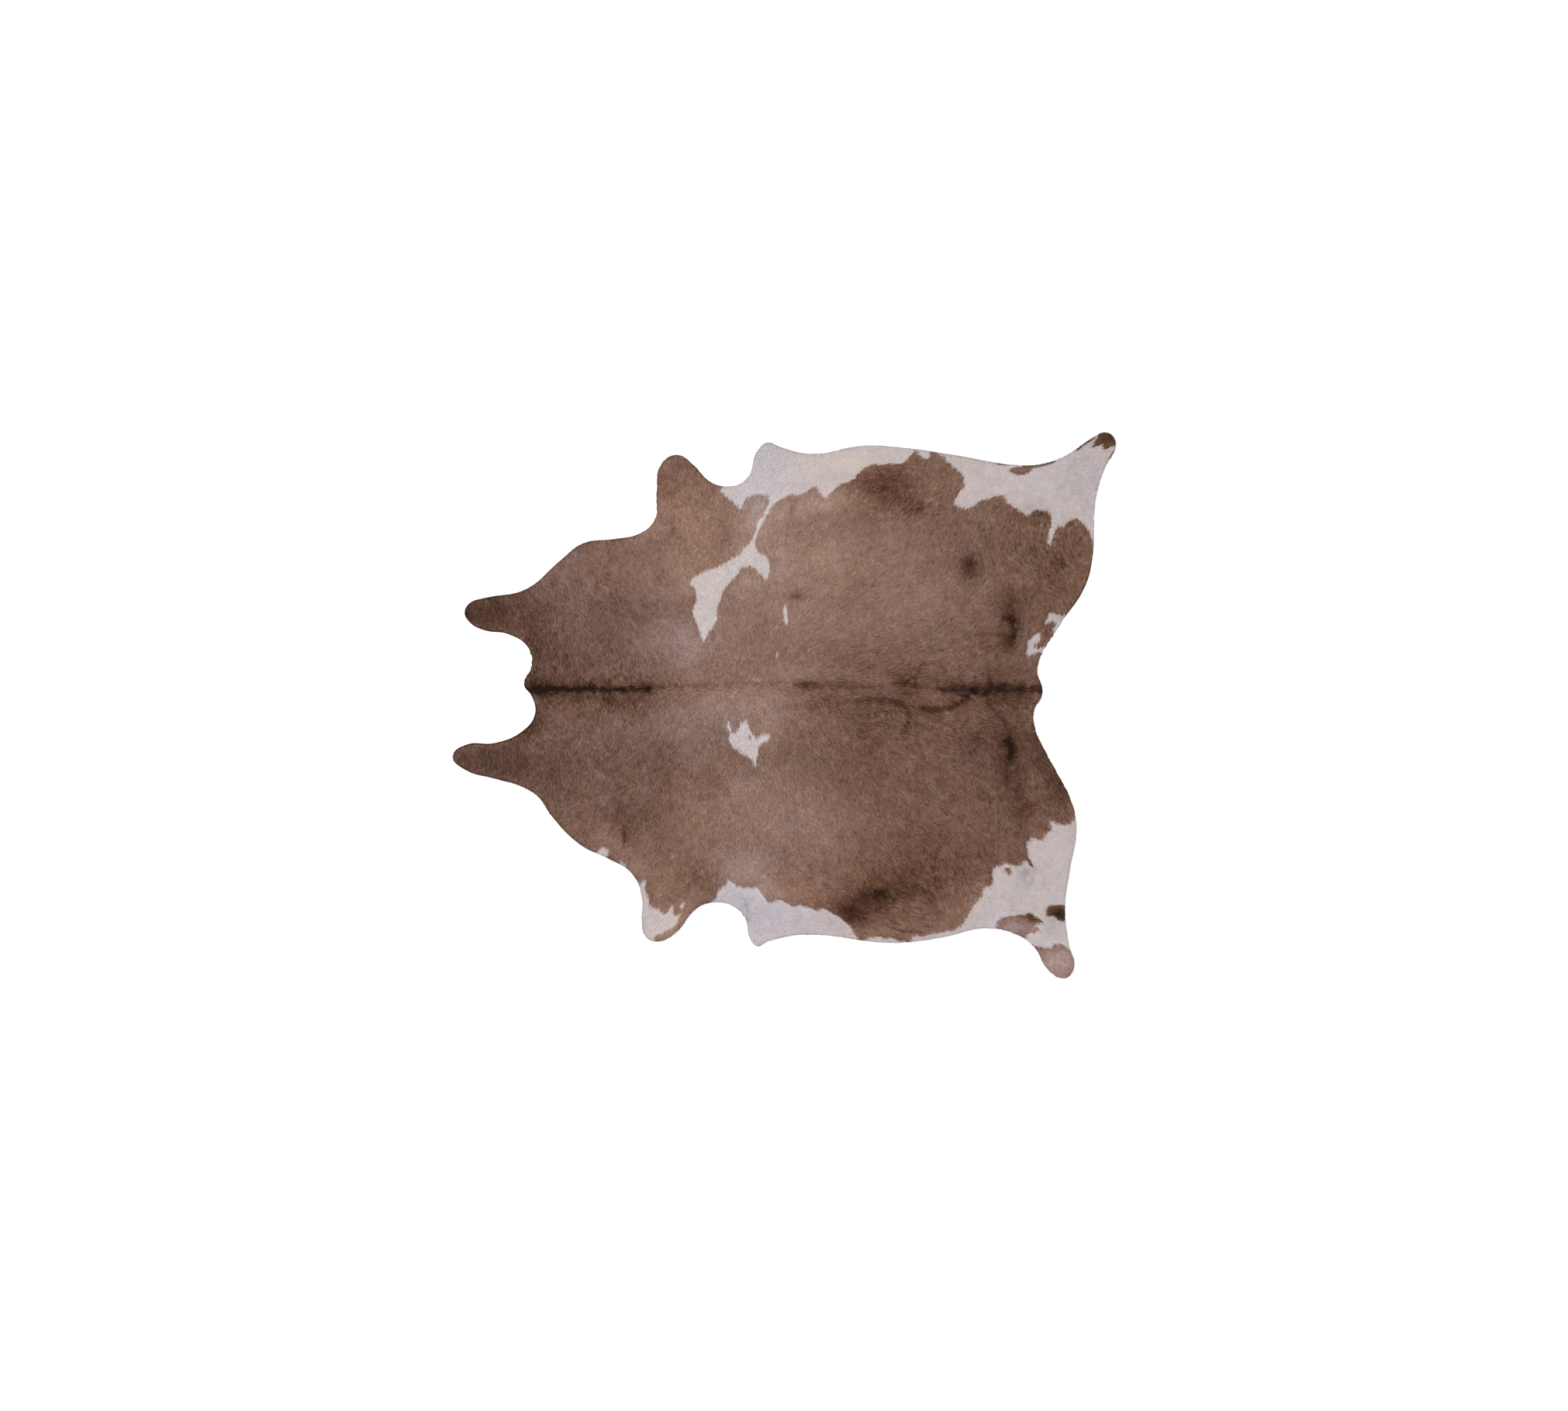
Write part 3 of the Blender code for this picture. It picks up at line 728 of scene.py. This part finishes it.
curl = sum(amount * cloud_share(root_x, root_y, *oval) for *oval, amount in CURLS.values())
east, north = hair_lie(root_x, root_y)
streak = combed_noise(root_x, root_y, east, north, STREAK_WIDTH, STREAK_LENGTH, seed=21)
mottle = noises(root_x, root_y, MOTTLE_NOISES)
turn = (TURN_SPREAD * chance.standard_normal(count)
        + (WAVES + WAVES_CURLED * curl) * soft_noise(root_x, root_y, WAVE_SIZE, seed=26)
        + DRIFTS * soft_noise(root_x, root_y, DRIFT_SIZE, seed=27))
east, north = (east * np.cos(turn) - north * np.sin(turn),
               east * np.sin(turn) + north * np.cos(turn))

at_root = markings(root_x, root_y, SEEN_AHEAD - TIP_MIXING / 2)
at_tip = markings(root_x, root_y, SEEN_AHEAD + TIP_MIXING / 2)
own_light = ((STREAKS + STREAKS_CURLED * curl) * streak
             + (MOTTLE + MOTTLE_WHITE * at_root[0] + MOTTLE_CURLED * curl) * mottle
             + LIGHT_SPREAD * chance.standard_normal(count))
own_warm = noises(root_x, root_y, WARMTH_NOISES) + WARMTH_SPREAD * chance.standard_normal(count)

length = spread(LOCK_LENGTH)
tip_x, tip_y = root_x + east * length, root_y + north * length
room, overhang = from_edge(root_x, root_y), -from_edge(tip_x, tip_y)
hang = spread(EDGE_HANG)
trimmed = length * (room + hang) / np.maximum(room + overhang, 1e-6)
length = np.where(overhang > hang, trimmed, length)
width, lift, crown = spread(LOCK_WIDTH), spread(LOCK_LIFT), spread(LOCK_CROWN)
lift = lift * np.clip(length / LOCK_LENGTH[0], LEAST_LIFT, 1.0)
bend = LOCK_BEND * chance.standard_normal(count)
root_z = skin_height(root_x, root_y) - ROOT_DEPTH

reach, side, crowned = lock_places.T[:, None, :]
across = width[:, None] * side + bend[:, None] * reach ** 2
height = root_z[:, None] + (lift + ROOT_DEPTH)[:, None] * reach + crown[:, None] * crowned
places = np.stack([
    root_x[:, None] + (east * length)[:, None] * reach - north[:, None] * across,
    root_y[:, None] + (north * length)[:, None] * reach + east[:, None] * across,
    np.maximum(height, FLOOR_GAP)], axis=2)
white, light, warm = (root[:, None] + (tip - root)[:, None] * reach
                      for root, tip in zip(at_root, at_tip))
# Painted shade along the cut edge darkens the locks there.
light = light + own_light[:, None] - painted_edge_shade(places[:, :, 0], places[:, :, 1], white)
warm = warm + own_warm[:, None]


class Wire:
    """A shader socket. Sums and products of wires add Math nodes to their material."""

    def __init__(self, tree, socket=None):
        self.tree, self.socket = tree, socket

    def node(self, kind, settings=(), inputs=(), output=0):
        """A new node: its settings, then its sockets' values or wires. Returns one output."""
        made = self.tree.nodes.new("ShaderNode" + kind)
        for name, value in dict(settings).items():
            if name == "stops":
                stops = made.color_ramp.elements
                while len(stops) < len(value):
                    stops.new(0.5)
                for stop, (place, colour) in zip(stops, value):
                    stop.position, stop.color = place, (*colour, 1.0)
            else:
                setattr(made, name, value)
        for name, value in dict(inputs).items():
            if isinstance(value, Wire):
                self.tree.links.new(value.socket, made.inputs[name])
            else:
                made.inputs[name].default_value = value
        return Wire(self.tree, made.outputs[output] if made.outputs else None)

    def math(self, operation, *values):
        return self.node("Math", {"operation": operation}, enumerate(values))

    def __add__(self, other):
        return self.math("ADD", self, other)

    __radd__ = __add__

    def __sub__(self, other):
        return self.math("SUBTRACT", self, other)

    def __rsub__(self, other):
        return self.math("SUBTRACT", other, self)

    def __mul__(self, other):
        return self.math("MULTIPLY", self, other)

    __rmul__ = __mul__


def mix(blend, share, one, other):
    """Two colours mixed in one of the Mix node's ways."""
    return draw.node("Mix", {"data_type": "RGBA", "blend_type": blend},
                     {0: share, 6: one, 7: other}, output=2)


def paint(*colour):
    """A colour given as it looks on a screen, from 0 to 255, as a shader takes it."""
    shares = [part / 255 for part in colour]
    return tuple(s / 12.92 if s <= 0.04045 else ((s + 0.055) / 1.055) ** 2.4 for s in shares)


def bare_finish(name):
    """A new material with no nodes, and the wire that draws them."""
    finish = bpy.data.materials.new(name)
    finish.use_nodes = True
    finish.node_tree.nodes.clear()
    return finish, Wire(finish.node_tree)


BROWN_HAIR = ((0.00, paint(29, 13, 5)), (0.25, paint(83, 57, 44)), (0.50, paint(127, 99, 86)),
              (0.72, paint(154, 128, 116)), (1.00, paint(184, 163, 153)))
WHITE_HAIR = ((0.00, paint(131, 121, 121)), (0.35, paint(178, 169, 169)),
              (0.60, paint(197, 188, 187)), (1.00, paint(211, 203, 201)))
WARM_TINT, COOL_TINT = (1.05, 0.97, 0.86, 1.0), (0.97, 1.02, 1.16, 1.0)
TINTING, TINTING_WHITE = 0.5, 0.22  # how much warmth tints hair, and less of it on white
HAIR_CONTRAST = 0.16  # how much the single hairs of a lock differ
TIP_CONTRAST = 0.08  # how much lighter its tip is than its root
WHITE_CONTRAST, WHITE_LIGHT = 0.55, 0.21  # white hair's lightness from the brown's

coat_finish, draw = bare_finish("hair")
whiteness, lightness, warmth, toward_tip = (
    draw.node("Attribute", {"attribute_name": name}, output="Fac")
    for name in ("white", "light", "warm", "tip"))
hairs = draw.node("TexNoise", {"noise_dimensions": "2D"}, {
    "Vector": draw.node("UVMap", {"uv_map": "hairs"}), "Scale": 1.0, "Detail": 2.0}, output="Fac")
tone = lightness + (hairs - 0.5) * HAIR_CONTRAST + (toward_tip - 0.5) * TIP_CONTRAST
brown = draw.node("ValToRGB", {"stops": BROWN_HAIR}, {"Fac": tone})
pale = draw.node("ValToRGB", {"stops": WHITE_HAIR}, {"Fac": WHITE_CONTRAST * tone + WHITE_LIGHT})
tinting = warmth * (TINTING - TINTING_WHITE * whiteness) + 0.5
tint = mix("MIX", tinting, COOL_TINT, WARM_TINT)
hair = mix("MULTIPLY", 1.0, mix("MIX", whiteness, brown, pale), tint)
relief = draw.node("Bump", {}, {"Strength": 0.22, "Distance": 0.0004, "Height": hairs})
shader = draw.node("BsdfPrincipled", {}, {
    "Base Color": hair, "Roughness": 0.52 + 0.2 * hairs, "Normal": relief,
    "Specular IOR Level": 0.08, "Sheen Weight": 0.02, "Sheen Roughness": 0.4})
draw.node("OutputMaterial", {}, {"Surface": shader})


def dress(mesh, values, hairs_at, bake_at):
    """Gives a mesh its markings for each vertex and its two maps for each corner."""
    for name, value in values.items():
        layer = mesh.attributes.new(name, "FLOAT", "POINT")
        layer.data.foreach_set("value", np.ascontiguousarray(value, np.float32).ravel())
    corner = np.empty(len(mesh.loops), np.int32)
    mesh.loops.foreach_get("vertex_index", corner)
    for name, at in (("hairs", hairs_at), ("OFBake", bake_at)):
        layer = mesh.uv_layers.new(name=name)
        layer.data.foreach_set("uv", np.ascontiguousarray(at[corner], np.float32).ravel())
    mesh.uv_layers.active = mesh.uv_layers["hairs"]


HAIRS_ACROSS, HAIRS_ALONG = 8.0, 1.6  # a lock's width and length in the noise of single hairs
HAIRS_SHIFT, HAIRS_WRAP = 7.31, 97.0  # from one lock's stretch of that noise to the next
LOCKS_A_CELL = 2  # neighbours that share one cell of the bake's map
CELL_FILL = 0.46  # how far from a cell's middle they reach
CELL_CORNERS = np.array([(-1.0, -1.0), (0.9, -1.0), (1.0, 1.0), (-1.0, 0.9)])

ranks = np.argsort(root_x, kind="stable")
for name, chosen in zip(COATS, np.array_split(ranks, len(COATS))):
    row_count = int(math.sqrt(len(chosen) / LOCKS_A_CELL)) + 1
    cell = np.empty((count, 2))
    for row, members in enumerate(np.array_split(chosen, row_count)):
        members = members[np.argsort(root_y[members], kind="stable")]
        column = np.arange(len(members)) // LOCKS_A_CELL
        cell[members, 0] = (column + 0.5) / math.ceil(len(members) / LOCKS_A_CELL)
        cell[members, 1] = (row + 0.5) / row_count
    corners = cell[chosen][:, None] + CELL_CORNERS * (CELL_FILL / row_count)

    mesh = bpy.data.meshes.new(name)
    first = np.arange(len(chosen))[:, None, None] * len(lock_places)
    mesh.from_pydata(places[chosen].reshape(-1, 3), [], (first + lock_faces).reshape(-1, 3))
    across_hairs = chosen[:, None] * HAIRS_SHIFT % HAIRS_WRAP + lock_places[:, 1] * HAIRS_ACROSS
    along_hairs = np.broadcast_to(lock_places[:, 0] * HAIRS_ALONG, across_hairs.shape)
    dress(mesh, {"white": white[chosen], "light": light[chosen], "warm": warm[chosen],
                 "tip": np.tile(lock_places[:, 0], len(chosen))},
          np.stack([across_hairs, along_hairs], axis=2).reshape(-1, 2), corners.reshape(-1, 2))
    mesh.shade_smooth()
    mesh.materials.append(coat_finish)
    coat = laid_out(name, mesh)
    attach(coat, "root")

# ---- The skin's finish ------------------------------------------------------------
# Between the locks the skin shows the colour of its hair. Its underside and cut edge are raw suede,
# pale and greyish from the tanning, with a short nap.
SUEDE_COLOURS = ((0.25, paint(150, 138, 126)), (0.50, paint(178, 168, 155)),
                 (0.75, paint(196, 188, 176)))
FIBRE_SCALE, CLOUD_SCALE = 900.0, 9.0
FIBRE_SHARE, CLOUD_SHARE = 0.3, 0.7
SKIN_HAIRS = 2500.0  # a metre of skin in the noise of single hairs
SKIN_DARKER = 0.10  # how much darker the skin is than the hair over it
UNDERSIDE_TOP = 0.7 * SKIN_THICKNESS  # what is lower is the underside in the bake's map
MAP_WIDTH, MAP_UNDERSIDE = 0.48, 0.52  # a side's width there, and the underside's place

suede, draw = bare_finish("suede")
at = draw.node("TexCoord", output="Object")
fibre = draw.node("TexNoise", {}, {"Vector": at, "Scale": FIBRE_SCALE, "Detail": 3.0}, output="Fac")
cloud = draw.node("TexNoise", {}, {"Vector": at, "Scale": CLOUD_SCALE, "Detail": 4.0}, output="Fac")
colour = draw.node("ValToRGB", {"stops": SUEDE_COLOURS},
                   {"Fac": cloud * CLOUD_SHARE + fibre * FIBRE_SHARE})
relief = draw.node("Bump", {}, {"Strength": 0.4, "Distance": 0.0003, "Height": fibre})
shader = draw.node("BsdfPrincipled", {}, {
    "Base Color": colour, "Roughness": 0.86 + 0.1 * fibre, "Normal": relief,
    "Specular IOR Level": 0.15})
draw.node("OutputMaterial", {}, {"Surface": shader})

x, y, z = np.array([vert.co[:] for vert in skin_mesh.vertices]).T
white_skin, light_skin, warm_skin = markings(x, y)
# The skin gets the same painted shade along the cut edge.
light_skin -= SKIN_DARKER + painted_edge_shade(x, y, white_skin)
u = (y - low.y) / (high.y - low.y) * MAP_WIDTH
v = (x - low.x) / (high.x - low.x)
bake_at = np.stack([np.where(z > UNDERSIDE_TOP, u, MAP_UNDERSIDE + u), v], axis=1)
dress(skin_mesh, {"white": white_skin, "light": light_skin, "warm": warm_skin,
                  "tip": np.full(x.shape, 0.5)},
      np.stack([x, y], axis=1) * SKIN_HAIRS, bake_at)
for finish in (coat_finish, suede):
    skin_mesh.materials.append(finish)
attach(skin, "root")
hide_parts("hide")

# ---- The floor, the light and the camera ------------------------------------------
# The rug lies on a plain pale studio floor under soft, nearly shadowless light. The camera looks
# straight down on it, and its frame is 5.46 m wide at the hide.
FLOOR_SIZE = 60.0
FLOOR_DROP = 0.0005  # the floor is this far under the hide, so that no faces meet
FLOOR_COLOUR = (0.97, 0.97, 0.97, 1.0)
STUDIO_COLOUR, STUDIO_LIGHT = (1.0, 1.0, 1.0, 1.0), 0.8
SOFTBOXES = {  # place, size and power
    "softbox over the neck": ((-4.0, 2.5, 5.0), 3.0, 264.0),
    "softbox over the tail": ((4.5, -1.0, 6.0), 4.0, 111.0),
}
FRAME_WIDTH = 2022  # the frame's width in chart squares
CAMERA_HEIGHT = 10.0
SENSOR = 36.0

ground = bmesh.new()
bmesh.ops.create_grid(ground, x_segments=1, y_segments=1, size=FLOOR_SIZE / 2)
bmesh.ops.translate(ground, verts=ground.verts, vec=(0.0, 0.0, -FLOOR_DROP))
floor_mesh = bpy.data.meshes.new("floor")
ground.to_mesh(floor_mesh)
ground.free()
floor = laid_out("floor", floor_mesh)
floor_finish, draw = bare_finish("floor")
draw.node("OutputMaterial", {}, {"Surface": draw.node("BsdfPrincipled", {}, {
    "Base Color": FLOOR_COLOUR, "Roughness": 0.9, "Specular IOR Level": 0.1})})
floor_mesh.materials.append(floor_finish)

studio = bpy.data.worlds.new("studio")
studio.use_nodes = True
background = studio.node_tree.nodes["Background"].inputs
background["Color"].default_value = STUDIO_COLOUR
background["Strength"].default_value = STUDIO_LIGHT
bpy.context.scene.world = studio

for name, (place, size, power) in SOFTBOXES.items():
    lamp = bpy.data.lights.new(name, "AREA")
    lamp.shape, lamp.size, lamp.energy = "SQUARE", size, power
    holder = laid_out(name, lamp)
    holder.location = place
    holder.rotation_euler = (-Vector(place)).to_track_quat("-Z", "Y").to_euler()

camera_data = bpy.data.cameras.new("camera")
camera_data.sensor_width = SENSOR
camera_data.sensor_fit = "HORIZONTAL"
camera_data.lens = SENSOR * CAMERA_HEIGHT / (FRAME_WIDTH * CHART)
camera = laid_out("camera", camera_data)
camera.location = (0.0, 0.0, CAMERA_HEIGHT)
bpy.context.scene.camera = camera
bpy.context.scene.view_settings.view_transform = "Standard"
